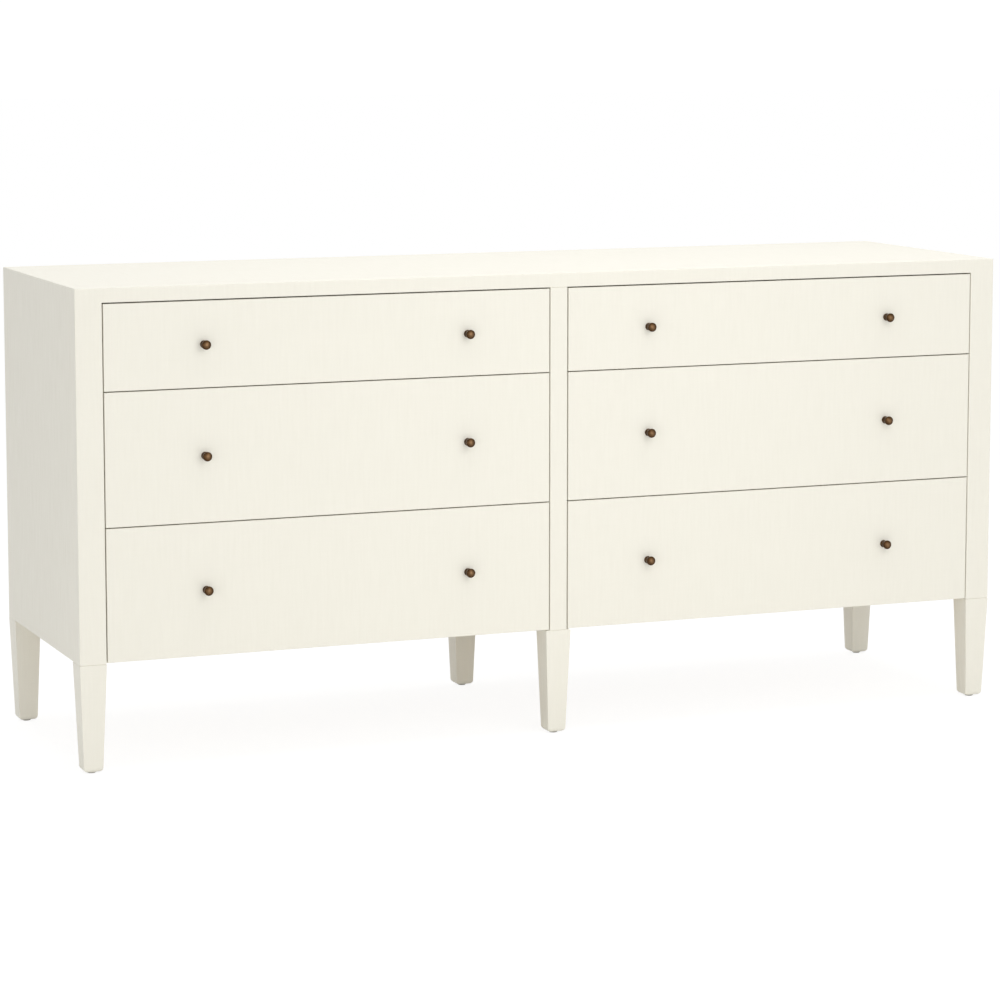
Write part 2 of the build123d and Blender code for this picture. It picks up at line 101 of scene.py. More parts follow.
def length(name, description, default):
    """A length in metres that the user can change."""
    return FloatProperty(
        name=name,
        description=description,
        default=default,
        min=0.0,
        precision=5,
        subtype="DISTANCE",
        unit="LENGTH",
    )


def count(name, description, default, least):
    """A whole number that the user can change."""
    return IntProperty(name=name, description=description, default=default, min=least, subtype="UNSIGNED")


def share(name, description, default):
    """A plain number from 0 to 1 that the user can change."""
    return FloatProperty(
        name=name, description=description, default=default, min=0.0, max=1.0, subtype="FACTOR"
    )


def brightness(name, description, default):
    """A light strength, in which 1 is white, that the user can change."""
    return FloatProperty(name=name, description=description, default=default, min=0.0)


def power(name, description, default):
    """A lamp's power in watts that the user can change."""
    return FloatProperty(name=name, description=description, default=default, min=0.0, unit="POWER")


def angle(name, description, degrees):
    """An angle that the user can change."""
    return FloatProperty(
        name=name, description=description, default=math.radians(degrees), subtype="ANGLE"
    )


def point(name, description, default):
    """A point in metres that the user can change."""
    return FloatVectorProperty(
        name=name, description=description, default=default, subtype="TRANSLATION", precision=4
    )


def extent(name, description, default):
    """A width and a height in metres that the user can change."""
    return FloatVectorProperty(
        name=name, description=description, default=default, size=2, min=0.0, unit="LENGTH"
    )


class DresserWrap(bpy.types.PropertyGroup):
    """The woven cloth wrap and its lacquer, on the case, the drawer fronts and the legs."""

    cream: colour("Cream", "Lacquer colour on the crowns of the threads", (0.908, 0.882, 0.788))
    shade: colour("Shade", "Lacquer colour between the threads and on thin strands", (0.858, 0.830, 0.732))
    thread_pitch: length("Thread pitch", "Distance from one thread to the next", 0.9 * MM)
    strand_width: length("Strand width", "Width of the faint upright strands", 5.0 * MM)
    strand_length: length("Strand length", "Length of the faint upright strands", 70.0 * MM)
    relief: length("Relief", "Depth of the weave that the lacquer leaves", 0.10 * MM)
    roughness: share("Roughness", "Roughness of the satin lacquer", 0.44)


class DresserWood(bpy.types.PropertyGroup):
    """The drawer boxes, their plywood bottoms, the boards inside the case and its back."""

    pale: colour("Pale wood", "Colour of the early wood", (0.665, 0.500, 0.315))
    grain: colour("Grain", "Colour of the late wood lines", (0.520, 0.350, 0.190))
    end_grain: colour("End grain", "Colour of the cut ends of the boards", (0.430, 0.290, 0.160))
    veneer: colour("Plywood veneer", "Colour of the drawer bottoms", (0.700, 0.545, 0.365))
    ply_pitch: length("Ply pitch", "From one dark ply to the next on a cut edge", 2.4 * MM)
    board: colour("Case board", "Colour of the unpainted case boards", (0.800, 0.710, 0.570))
    fleck: colour("Board fleck", "Colour of the fibres in the case boards", (0.680, 0.575, 0.430))
    back: colour("Back panel", "Matt sprayed colour of the back panel", (0.760, 0.715, 0.615))


class DresserMetal(bpy.types.PropertyGroup):
    """The aged brass knobs, the steel slides, the screws and the moulded glides."""

    # Brass shows on the crown's middle, which is brightened partly by polish from hands and partly by a
    # painted highlight.
    brass: colour("Brass", "Colour of the brass where hands polish it", (0.260, 0.155, 0.080))
    patina: colour("Patina", "Colour of the aged brass", (0.050, 0.024, 0.009))
    steel: colour("Slide steel", "Colour of the zinc plated slides", (0.560, 0.570, 0.575))
    screw: colour("Screw steel", "Colour of the screw heads and bolts", (0.480, 0.475, 0.460))
    glide: colour("Foot glide", "Colour of the moulded foot glides", (0.520, 0.500, 0.450))


class DresserKnob(bpy.types.PropertyGroup):
    """The turned outline of a knob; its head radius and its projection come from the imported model."""

    crown_height: length("Crown height", "Rise of the domed face over its rim", 3.0 * MM)
    rim_height: length("Rim height", "Straight edge of the head", 3.0 * MM)
    neck_radius: length("Neck radius", "Radius of the neck behind the head", 6.0 * MM)
    base_radius: length("Base radius", "Radius of the foot on the drawer front", 7.0 * MM)
    base_height: length("Base height", "Thickness of the foot on the drawer front", 2.0 * MM)
    dome_share: share("Dome share", "Share of the head's radius that the dome's arc takes", 0.9)
    dome_rings: count("Dome rings", "Rings of points on the dome's arc", 12, 4)
    around: count("Facets round", "Points round the knob", 64, 12)


class DresserScrew(bpy.types.PropertyGroup):
    """The screw heads that show inside the drawers, on the slides and on the back."""

    knob_radius: length("Knob screw radius", "Head radius of the screws that hold the knobs", 4.5 * MM)
    knob_rise: length("Knob screw rise", "Head height of the screws that hold the knobs", 2.6 * MM)
    board_radius: length("Board screw radius", "Head radius of the other screws", 4.0 * MM)
    board_rise: length("Board screw rise", "Head height of the other screws", 2.2 * MM)
    front_inset: length("Front inset", "From the ends of a box front to the screws of its face", 60.0 * MM)
    front_lower: share("Front lower", "Height of the lower screws on a box front, as a share", 0.32)
    front_upper: share("Front upper", "Height of the upper screws on a box front, as a share", 0.78)
    slide_inset: length("Slide inset", "From the ends of a slide to its outer screws", 40.0 * MM)
    slide_gauge: length("Slide gauge", "Thickness of the slide under its screw heads", 1.2 * MM)
    slide_count: count("Slide screws", "Screws along a slide", 3, 2)
    back_rows: count("Back rows", "Screws above each other on the back panel", 4, 2)
    recess_arm: share("Recess arm", "Reach of the cross recess, as a share of the head's radius", 0.58)
    recess_width: length("Recess width", "Half the width of an arm of the cross recess", 0.55 * MM)
    recess_depth: length("Recess depth", "Depth of the cross recess", 1.3 * MM)
    rings: count("Rings", "Rings of points from the middle of the head to its edge", 18, 8)
    around: count("Facets round", "Points round the head", 40, 16)


class DresserStage(bpy.types.PropertyGroup):
    """The floor, the light and the camera."""

    floor: colour("Floor", "Colour of the floor", (0.940, 0.940, 0.940))
    floor_bounce: colour("Floor bounce", "Colour of the light off the floor", (0.930, 0.930, 0.925))
    floor_reach: length("Floor reach", "From the middle of the floor to its edges", 40.0)
    shadow: share("Shadow", "How much of its own shading the floor shows", 0.25)
    ambient: brightness("Ambient", "Strength of the light from all round", 0.59)
    backdrop: brightness("Backdrop", "Strength of the white that the camera sees", 1.04)
    aim: point("Aim", "What the softboxes look at", (0.3, -0.25, 0.6))
    top_power: power("Top power", "Power of the softbox over the dresser", 63.5)
    top_place: point("Top place", "Where the softbox over the dresser hangs", (0.3, -0.35, 4.2))
    top_size: extent("Top size", "Size of the softbox over the dresser", (3.4, 2.4))
    front_power: power("Front power", "Power of the softbox close to the drawers", 6.0)
    front_place: point("Front place", "Where the softbox close to the drawers hangs", (0.30, -1.9, 1.55))
    front_size: extent("Front size", "Size of the softbox close to the drawers", (1.4, 1.0))
    left_power: power("Left power", "Power of the low softbox on the left", 16.0)
    left_place: point("Left place", "Where the low softbox on the left stands", (-3.2, -3.0, 0.8))
    left_size: extent("Left size", "Size of the low softbox on the left", (3.0, 1.4))
    low_power: power("Low power", "Power of the low softbox in front", 19.5)
    low_place: point("Low place", "Where the low softbox in front stands", (0.3, -4.5, 0.75))
    low_size: extent("Low size", "Size of the low softbox in front", (3.0, 1.4))
    camera_place: point("Camera place", "Where the camera stands", (-2.4008, -5.9075, 1.3626))
    camera_yaw: angle("Camera yaw", "Turn of the view to the right of +Y", 21.98)
    camera_dip: angle("Camera dip", "Dip of the view under the horizon", 6.81)
    camera_lens: FloatProperty(
        name="Camera lens",
        description="Focal length on a 36 mm frame",
        default=120.71,
        subtype="DISTANCE_CAMERA",
    )
    camera_shift: FloatProperty(
        name="Camera shift", description="Rise of the frame, in frame widths", default=-0.1
    )


class Finish:
    """The nodes of a material or a world in the making: each call adds some and gives back an output."""

    def __init__(self, owner):
        owner.use_nodes = True
        self.owner = owner
        self.nodes = owner.node_tree.nodes
        self.links = owner.node_tree.links

    def feed(self, socket, value):
        """Link an output to a socket, or set a plain number or colour on it."""
        if isinstance(value, bpy.types.NodeSocket):
            self.links.new(value, socket)
        elif socket.type == "RGBA":
            socket.default_value = (*value, 1.0)
        else:
            socket.default_value = value

    def node(self, kind, inputs, output=0, **settings):
        """Add a node with its settings and inputs, and give back one output."""
        node = self.nodes.new(kind)
        for key, value in settings.items():
            setattr(node, key, value)
        for key, value in inputs.items():
            self.feed(node.inputs[key], value)
        return node.outputs[output]

    def math(self, operation, *values):
        """A Math node on one to three values."""
        return self.node("ShaderNodeMath", dict(enumerate(values)), operation=operation)

    def span(self, factor, low, high):
        """low where the factor is 0, high where it is 1."""
        return self.math("MULTIPLY_ADD", factor, high - low, low)

    def clamp(self, value):
        """The value, held between 0 and 1."""
        return self.node("ShaderNodeClamp", {0: value})

    def blend(self, factor, first, second):
        """A colour from the first, at 0, to the second, at 1."""
        return self.node("ShaderNodeMix", {0: factor, 6: first, 7: second}, 2, data_type="RGBA")

    def split(self, vector):
        """The three numbers of a vector."""
        parts = self.node("ShaderNodeSeparateXYZ", {0: vector}).node
        return [parts.outputs[axis] for axis in "XYZ"]

    def place(self):
        """Object coordinates as three numbers."""
        return self.split(self.node("ShaderNodeTexCoord", {}, "Object"))

    def faces(self, axis):
        """1 on faces that look along an axis, either way, and 0 on the others."""
        normal = self.node("ShaderNodeTexCoord", {}, "Normal")
        size = self.node("ShaderNodeVectorMath", {0: normal}, operation="ABSOLUTE")
        return self.math("GREATER_THAN", self.split(size)[axis], SQUARELY)

    def point(self, x, y, z=0.0):
        """A vector from three numbers."""
        return self.node("ShaderNodeCombineXYZ", {0: x, 1: y, 2: z})

    def noise(self, where, scale, detail=2.0, roughness=0.5, distortion=0.0):
        """Smooth noise from 0 to 1; scale is in features per unit of the coordinates."""
        inputs = {
            "Vector": where,
            "Scale": scale,
            "Detail": detail,
            "Roughness": roughness,
            "Distortion": distortion,
        }
        return self.node("ShaderNodeTexNoise", inputs)

    def streaks(self, across, along, width, run, detail=2.0):
        """Noise whose features are width metres across and run metres along."""
        where = self.point(self.math("DIVIDE", across, width), self.math("DIVIDE", along, run))
        return self.noise(where, scale=1.0, detail=detail)

    def stretch(self, value, low, high):
        """0 where the value is low or less, 1 where it is high or more, and a smooth rise between."""
        inputs = {"Value": value, "From Min": low, "From Max": high}
        return self.node("ShaderNodeMapRange", inputs, interpolation_type="SMOOTHSTEP")

    def bump(self, height, distance, strength):
        """Surface relief of the given depth in metres."""
        return self.node("ShaderNodeBump", {"Height": height, "Distance": distance, "Strength": strength})

    def seen(self):
        """1 for what the camera, a mirror or glass shows, 0 for light that bounces between surfaces."""
        path = self.node("ShaderNodeLightPath", {}).node
        mirrored = self.math("MAXIMUM", path.outputs["Is Glossy Ray"], path.outputs["Is Transmission Ray"])
        return self.math("MAXIMUM", path.outputs["Is Camera Ray"], mirrored)

    def surface(self, **inputs):
        """Feed the shader and give back the material; an underscore stands for a space in a socket's name."""
        shader = self.nodes["Principled BSDF"]
        for key, value in inputs.items():
            self.feed(shader.inputs[key.replace("_", " ")], value)
        return self.owner


def new_finish(name):
    """The node tree of a new material."""
    return Finish(bpy.data.materials.new(name))


def toned(tint, part):
    """A colour with only a part of its light, or more than all of it."""
    return tuple(part * channel for channel in tint)


def thread_crown(finish, thread, crossing):
    """The rounded top of a thread, sunk between the threads that cross it: thread^0.6 * crossing^0.25."""
    rounded = finish.math("POWER", thread, 0.6)
    sunk = finish.math("POWER", crossing, 0.25)
    return finish.math("MULTIPLY", rounded, sunk)


def woven_wrap(settings):
    """Plain weave under lacquer. Two sine waves of opposite parity cross at right angles; on every other
    crossing the upright thread rides over the level one. Faint long strands and a slow wander of the threads
    keep it from looking printed."""
    finish = new_finish("cream_woven_wrap")
    x, y, z = finish.place()
    on_end = finish.faces(X_AXIS)
    on_top = finish.faces(Z_AXIS)
    across = finish.math("MULTIPLY_ADD", finish.math("SUBTRACT", y, x), on_end, x)
    along = finish.math("MULTIPLY_ADD", finish.math("SUBTRACT", y, z), on_top, z)

    pitch = settings.thread_pitch
    run = settings.strand_length
    strands = finish.streaks(across, along, settings.strand_width, run, detail=3.0)
    slub_width = 2.4 * pitch
    slubs = finish.streaks(along, across, slub_width, run)
    threads = finish.streaks(across, along, pitch, run, detail=1.0)
    clouds = finish.noise(finish.point(across, along), scale=7.0)

    step = math.pi / pitch
    drift = 3.0
    warp_turn = finish.math("MULTIPLY_ADD", across, step, finish.span(strands, 0.0, drift))
    weft_turn = finish.math("MULTIPLY_ADD", along, step, finish.span(slubs, 0.0, drift))
    warp_wave = finish.math("SINE", warp_turn)
    weft_wave = finish.math("SINE", weft_turn)
    warp = finish.math("ABSOLUTE", warp_wave)
    weft = finish.math("ABSOLUTE", weft_wave)
    warp_on_top = finish.math("GREATER_THAN", finish.math("MULTIPLY", warp_wave, weft_wave), 0.0)
    warp_crown = thread_crown(finish, warp, weft)
    weft_crown = thread_crown(finish, weft, warp)
    rise = finish.math("SUBTRACT", warp_crown, weft_crown)
    height = finish.math("MULTIPLY_ADD", rise, warp_on_top, weft_crown)

    contrast = finish.span(on_end, 0.8, 2.2)
    tone = finish.math("MULTIPLY", finish.math("SUBTRACT", strands, 0.5), contrast)
    tone = finish.math("ADD", tone, finish.span(threads, 0.35, 0.55))
    tone = finish.math("ADD", tone, finish.span(slubs, -0.14, 0.14))
    tone = finish.math("ADD", tone, finish.span(clouds, -0.08, 0.08))
    tone = finish.math("ADD", tone, finish.span(height, 0.05, 0.25))
    relief = finish.math("MULTIPLY_ADD", strands, 0.6, height)
    return finish.surface(
        Base_Color=finish.blend(finish.clamp(tone), settings.shade, settings.cream),
        Roughness=finish.span(height, settings.roughness + 0.08, settings.roughness - 0.04),
        Specular_IOR_Level=0.22,
        Normal=finish.bump(relief, settings.relief, strength=0.6),
    )


def solid_wood(name, settings, grain_axis):
    """Straight grained board. Noise stretched along the grain gives the growth lines, a finer one the pores,
    and faces that look along the grain show end grain instead."""
    finish = new_finish(name)
    axes = finish.place()
    along = axes[grain_axis]
    first, second = [axis for number, axis in enumerate(axes) if number != grain_axis]
    line_squeeze = 0.06
    wander_squeeze = 0.5
    where = finish.point(first, second, finish.math("MULTIPLY", along, line_squeeze))
    slow = finish.point(first, second, finish.math("MULTIPLY", along, wander_squeeze))
    wander = finish.noise(slow, scale=5.0)
    bands = finish.noise(where, scale=70.0, detail=4.0, roughness=0.6, distortion=0.8)
    pores = finish.noise(where, scale=900.0, roughness=0.7)
    lines = finish.stretch(bands, 0.36, 0.70)
    tone = finish.math("MULTIPLY_ADD", lines, 0.8, finish.span(wander, -0.25, 0.25))
    tone = finish.math("MULTIPLY_ADD", finish.stretch(pores, 0.5, 0.75), 0.4, tone)
    board = finish.blend(finish.clamp(tone), settings.pale, settings.grain)
    rings = finish.noise(finish.point(*axes), scale=420.0, detail=3.0, roughness=0.7)
    cut = finish.blend(rings, settings.end_grain, settings.grain)
    return finish.surface(
        Base_Color=finish.blend(finish.faces(grain_axis), board, cut),
        Roughness=finish.span(pores, 0.38, 0.56),
        Specular_IOR_Level=0.4,
        Normal=finish.bump(pores, 0.05 * MM, strength=0.5),
    )


def plywood(settings):
    """Drawer bottom veneer: wide figure along X with fine pores, and dark and pale plies on the cut edges."""
    finish = new_finish("drawer_bottom_veneer")
    x, y, z = finish.place()
    figure_squeeze = 0.07
    where = finish.point(finish.math("MULTIPLY", x, figure_squeeze), y, z)
    figure = finish.noise(where, scale=34.0, detail=5.0, roughness=0.55, distortion=1.4)
    pores = finish.noise(where, scale=700.0, roughness=0.7)
    lines = finish.stretch(figure, 0.36, 0.72)
    tone = finish.math("MULTIPLY_ADD", lines, 0.7, finish.span(pores, -0.25, 0.25))
    face = finish.blend(finish.clamp(tone), settings.veneer, settings.grain)
    plies = finish.math("SINE", finish.math("MULTIPLY", z, 2 * math.pi / settings.ply_pitch))
    edge = finish.blend(finish.span(plies, 0.5, 1.0), settings.veneer, settings.end_grain)
    return finish.surface(
        Base_Color=finish.blend(finish.faces(Z_AXIS), edge, face),
        Roughness=finish.span(pores, 0.42, 0.6),
        Normal=finish.bump(pores, 0.04 * MM, strength=0.5),
    )


def plain_board(settings):
    """Unpainted board: short fibres in every direction, pressed flat, with a soft tone under them."""
    finish = new_finish("unpainted_board")
    where = finish.point(*finish.place())
    fibres = finish.noise(where, scale=380.0, detail=4.0, roughness=0.75, distortion=1.2)
    clouds = finish.noise(where, scale=14.0, detail=3.0)
    tone = finish.math("MULTIPLY_ADD", fibres, 1.3, finish.span(clouds, -0.55, -0.15))
    return finish.surface(
        Base_Color=finish.blend(finish.clamp(tone), settings.board, settings.fleck),
        Roughness=finish.span(fibres, 0.62, 0.78),
        Normal=finish.bump(fibres, 0.06 * MM, strength=0.6),
    )


def sprayed_back(settings):
    """Matt sprayed panel: a fine pebbled skin with slow changes of tone."""
    finish = new_finish("sprayed_back_panel")
    where = finish.point(*finish.place())
    pebbles = finish.noise(where, scale=620.0)
    clouds = finish.noise(where, scale=3.5, detail=3.0)
    tone = finish.math("MULTIPLY_ADD", clouds, 0.12, finish.span(pebbles, 0.84, 0.98))
    return finish.surface(
        Base_Color=finish.blend(finish.clamp(tone), toned(settings.back, 0.86), settings.back),
        Roughness=finish.span(pebbles, 0.55, 0.7),
        Normal=finish.bump(pebbles, 0.08 * MM, strength=0.5),
    )


def aged_brass(settings):
    """Turned brass gone brown: cloudy patina that thins where the knob's own polish attribute is high,
    which is partly wear and partly a painted highlight on the crown, and fine lathe lines that follow its
    outline attribute."""
    finish = new_finish("aged_brass_turning")
    where = finish.point(*finish.place())
    clouds = finish.noise(where, scale=160.0, detail=4.0, roughness=0.6, distortion=0.6)
    specks = finish.noise(where, scale=1400.0, roughness=0.6)
    outline = finish.node("ShaderNodeAttribute", {}, "Fac", attribute_name="outline")
    lathe = finish.noise(finish.point(outline, 0.0), scale=2600.0, detail=1.0)
    # The crown's middle is made bright here: partly polish by hands, partly a painted highlight.
    polish = finish.node("ShaderNodeAttribute", {}, "Fac", attribute_name="polish")
    marks = finish.math("MULTIPLY_ADD", clouds, 0.5, finish.span(specks, -0.35, -0.15))
    wear_and_highlight = finish.clamp(finish.math("ADD", polish, marks))
    return finish.surface(
        Base_Color=finish.blend(wear_and_highlight, settings.patina, settings.brass),
        Metallic=1.0,
        Roughness=finish.span(clouds, 0.42, 0.20),
        Normal=finish.bump(lathe, 0.02 * MM, strength=0.35),
    )


def rolled_steel(name, tint, line_axis):
    """Plated sheet steel: fine rolling lines along one axis over a cloudy plating."""
    finish = new_finish(name)
    axes = finish.place()
    line_squeeze = 0.02
    drawn = list(axes)
    drawn[line_axis] = finish.math("MULTIPLY", axes[line_axis], line_squeeze)
    lines = finish.noise(finish.point(*drawn), scale=2200.0, roughness=0.6)
    clouds = finish.noise(finish.point(*axes), scale=60.0, detail=3.0, roughness=0.6)
    tone = finish.math("MULTIPLY_ADD", clouds, 0.7, finish.span(lines, 0.0, 0.4))
    return finish.surface(
        Base_Color=finish.blend(finish.clamp(tone), toned(tint, 0.72), tint),
        Metallic=1.0,
        Roughness=finish.span(clouds, 0.28, 0.46),
        Normal=finish.bump(lines, 0.015 * MM, strength=0.4),
    )


def moulded_plastic(settings):
    """Moulded glide: a fine spark texture with scuffed, paler specks."""
    finish = new_finish("moulded_foot_glide")
    where = finish.point(*finish.place())
    spark = finish.noise(where, scale=2400.0, roughness=0.6)
    scuffs = finish.math("POWER", finish.noise(where, scale=500.0, detail=3.0, roughness=0.7), 3.0)
    return finish.surface(
        Base_Color=finish.blend(scuffs, settings.glide, toned(settings.glide, 1.3)),
        Roughness=finish.span(spark, 0.4, 0.6),
        Normal=finish.bump(spark, 0.03 * MM, strength=0.5),
    )


def paint(names, material):
    """Give CAD nodes a finish through their material slots."""
    for name in names:
        for holder in frame["nodes"][name].material_slots:
            holder.material = material


def add_object(name, data):
    """A new object at the origin of the scene."""
    thing = bpy.data.objects.new(name, data)
    bpy.context.scene.collection.objects.link(thing)
    return thing


def give(piece, name, values):
    """Store one number for each point of a piece, for its finish to read."""
    attribute = piece.data.attributes.new(name, "FLOAT", "POINT")
    attribute.data.foreach_set("value", np.asarray(values, np.float32))


def turned_points(radius, height, places, normal):
    """Points of like turned pieces, in rows from the outer pole to the inner one. Row i, column j of a piece
    stands at place + radius * (cos a * side + sin a * rise) + height * normal, where a turns once over the
    columns and side, rise and normal are at right angles, right handed in that order."""
    normal = np.asarray(normal, float)
    side = np.array([0.0, 1.0, 0.0]) if abs(normal[0]) > 0.5 else np.array([1.0, 0.0, 0.0])
    rise = np.cross(normal, side)
    turn = np.linspace(0.0, 2 * np.pi, radius.shape[1], endpoint=False)
    ring = np.cos(turn)[:, None] * side + np.sin(turn)[:, None] * rise
    shape = radius[..., None] * ring[None] + height[..., None] * normal
    return np.asarray(places, float)[:, None, None, :] + shape[None]


def turned_faces(pieces, rows, columns):
    """Faces of like turned pieces: a fan at each pole and quads between the rings, all looking outwards."""
    inner = rows - 2
    size = inner * columns + 2
    here = np.arange(columns)
    there = np.roll(here, -1)
    last = 1 + (inner - 1) * columns
    top = np.stack([np.zeros(columns, int), 1 + here, 1 + there], axis=1)
    bottom = np.stack([np.full(columns, size - 1), last + there, last + here], axis=1)
    ring = 1 + columns * np.arange(inner - 1)[:, None]
    below = ring + columns
    quads = np.stack([ring + here, below + here, below + there, ring + there], axis=2).reshape(-1, 4)
    starts = size * np.arange(pieces)[:, None, None]
    faces = []
    for part in (top, quads, bottom):
        faces += (part[None] + starts).reshape(-1, part.shape[1]).tolist()
    return faces


def turned_vertices(points):
    """One vertex for each pole and one for each point of the rings between them."""
    rings = points[:, 1:-1].reshape(len(points), -1, 3)
    return np.concatenate([points[:, 0, :1], rings, points[:, -1, :1]], axis=1).reshape(-1, 3)


def row_values(values, points):
    """One value for each row of like turned pieces, given to every vertex of that row."""
    pieces, _, columns, _ = points.shape
    rings = np.repeat(values[1:-1], columns)
    return np.tile(np.concatenate([values[:1], rings, values[-1:]]), pieces)


def turned_piece(name, points, material, body):
    """Like turned pieces as one smooth mesh at the origin, which rides on a body."""
    mesh = bpy.data.meshes.new(name)
    mesh.from_pydata(turned_vertices(points).tolist(), [], turned_faces(*points.shape[:3]))
    mesh.shade_smooth()
    mesh.materials.append(material)
    mesh.update()
    piece = add_object(name, mesh)
    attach(piece, body)
    return piece


def rounded_outline(corners, cuts, steps=7):
    """A polyline whose inner corners are rounded: corner P, cut back by c towards its neighbours to A and B,
    becomes the curve (1-t)^2 A + 2 t (1-t) P + t^2 B."""
    corners = np.asarray(corners, float)
    middle = corners[1:-1]
    before = corners[:-2] - middle
    after = corners[2:] - middle
    cuts = np.asarray(cuts, float)[:, None]
    start = middle + cuts * before / np.linalg.norm(before, axis=1, keepdims=True)
    end = middle + cuts * after / np.linalg.norm(after, axis=1, keepdims=True)
    t = np.linspace(0.0, 1.0, steps)[None, :, None]
    curve = (1 - t) ** 2 * start[:, None] + 2 * t * (1 - t) * middle[:, None] + t**2 * end[:, None]
    return np.concatenate([corners[:1], curve.reshape(-1, 2), corners[-1:]])


def knob_outline(settings, radius, projection):
    """Half outline of a knob as (radius, height over the drawer front): a low dome, which is an arc of
    radius (R^2 + h^2) / 2h, a straight rim, a sloping shoulder, a neck and a coved foot. The dome's arc
    ends a little inside the rim, and each corner after it is cut back and rounded."""
    rim_front = projection - settings.crown_height
    rim_back = rim_front - settings.rim_height
    shoulder = rim_back - (radius - settings.neck_radius)
    foot = settings.base_height
    flare = settings.base_radius - settings.neck_radius
    arc_radius = (radius**2 + settings.crown_height**2) / (2 * settings.crown_height)
    dome = np.linspace(0.0, settings.dome_share * radius, settings.dome_rings)
    dome_height = projection - arc_radius + np.sqrt(arc_radius**2 - dome**2)
    corners = [
        (dome[-1], dome_height[-1]),
        (radius, rim_front),
        (radius, rim_back),
        (settings.neck_radius, shoulder),
        (settings.neck_radius, foot + flare),
        (settings.base_radius, foot),
        (settings.base_radius, 0.0),
        (0.0, 0.0),
    ]
    side = rounded_outline(corners, KNOB_ROUNDING)
    return np.concatenate([np.stack([dome[:-1], dome_height[:-1]], axis=1), side])


def outline_run(outline):
    """The distance along an outline at each of its points."""
    steps = np.linalg.norm(np.diff(outline, axis=0), axis=1)
    return np.concatenate([[0.0], np.cumsum(steps)])


def knob_polish_and_highlight(outline, radius):
    """How bright each point of a knob's outline is, from polish by hands and a painted highlight: 0.8 exp(-(r
    / 0.55 R)^2) on the crown, so its middle shines, and 0.1 behind the crown, which stays dark."""
    # The crown's middle is painted bright: partly polish by hands, partly a painted highlight.
    middle = 0.8
    spread = 0.55
    behind = 0.1
    reach = outline[:, 0] / radius
    on_crown = np.arange(len(outline)) < np.argmax(reach)
    return np.where(on_crown, middle * np.exp(-((reach / spread) ** 2)), behind)


def fade(distance, edge, slope):
    """1 inside an edge and 0 outside it, with a straight slope of the given width across the edge."""
    return np.clip((edge + slope / 2 - distance) / slope, 0.0, 1.0)


def screw_heads(settings, radius, rise, places, normal):
    """Points of pan heads. The height over the face is a flattened dome, rise * (1 - 0.85 (r/R)^4)^(1/2),
    less a cross recess whose arms lie where the smaller of |r cos a| and |r sin a| is under the arm's half
    width. A straight skirt and a flat underside close the head."""
    roundness = 0.85
    turn = np.linspace(0.0, 2 * np.pi, settings.around, endpoint=False)
    outward, turn = np.meshgrid(np.linspace(0.0, 1.0, settings.rings), turn, indexing="ij")
    reach = radius * outward
    dome = rise * np.sqrt(1.0 - roundness * outward**4)
    off_arm = np.minimum(np.abs(reach * np.cos(turn)), np.abs(reach * np.sin(turn)))
    arm_slope = 0.5 * settings.recess_width
    in_arm = fade(off_arm, settings.recess_width, arm_slope)
    arm_end = settings.recess_arm * radius
    end_slope = 0.3 * arm_end
    in_reach = fade(reach, arm_end, end_slope)
    height = dome - settings.recess_depth * in_arm * in_reach
    underside = np.zeros((2, settings.around))
    reach = np.concatenate([reach, underside + np.array([[radius], [0.0]])])
    height = np.concatenate([height, underside])
    return turned_points(reach, height, places, normal)


def knob_places(drawer):
    """Where a drawer's two knobs meet its front, the radius of their heads and how far they stand out."""
    low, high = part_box(f"{drawer}_drawer_knobs")
    front_low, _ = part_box(f"{drawer}_drawer_front")
    radius = (high.z - low.z) / 2
    z = (high.z + low.z) / 2
    places = [(low.x + radius, front_low.y, z), (high.x - radius, front_low.y, z)]
    return places, radius, front_low.y - low.y


class DRESSER_OT_wrap(bpy.types.Operator):
    """Wraps the case panels, the drawer fronts and the legs in lacquered cloth"""

    bl_idname = "dresser.wrap"
    bl_label = "Wrap Case, Fronts and Legs"

    def execute(self, context):
        fronts = [f"{drawer}_drawer_front" for drawer in DRAWERS]
        paint(CASE_PANELS + LEGS + fronts, woven_wrap(context.scene.dresser_wrap))
        return {"FINISHED"}


class DRESSER_OT_drawer_boxes(bpy.types.Operator):
    """Finishes the dovetailed drawer boxes and their bottoms"""

    bl_idname = "dresser.drawer_boxes"
    bl_label = "Finish Drawer Boxes"

    def execute(self, context):
        settings = context.scene.dresser_wood
        side_wood = solid_wood("drawer_side_wood", settings, Y_AXIS)
        end_wood = solid_wood("drawer_end_wood", settings, X_AXIS)
        paint([f"{drawer}_drawer_sides" for drawer in DRAWERS], side_wood)
        paint([f"{drawer}_drawer_ends" for drawer in DRAWERS], end_wood)
        paint([f"{drawer}_drawer_bottom" for drawer in DRAWERS], plywood(settings))
        return {"FINISHED"}


class DRESSER_OT_inner_boards(bpy.types.Operator):
    """Finishes the bottom panel, the stretchers and the back panel"""

    bl_idname = "dresser.inner_boards"
    bl_label = "Finish Inner Boards"

    def execute(self, context):
        settings = context.scene.dresser_wood
        paint(["bottom_panel", "stretchers"], plain_board(settings))
        paint(["back_panel"], sprayed_back(settings))
        return {"FINISHED"}


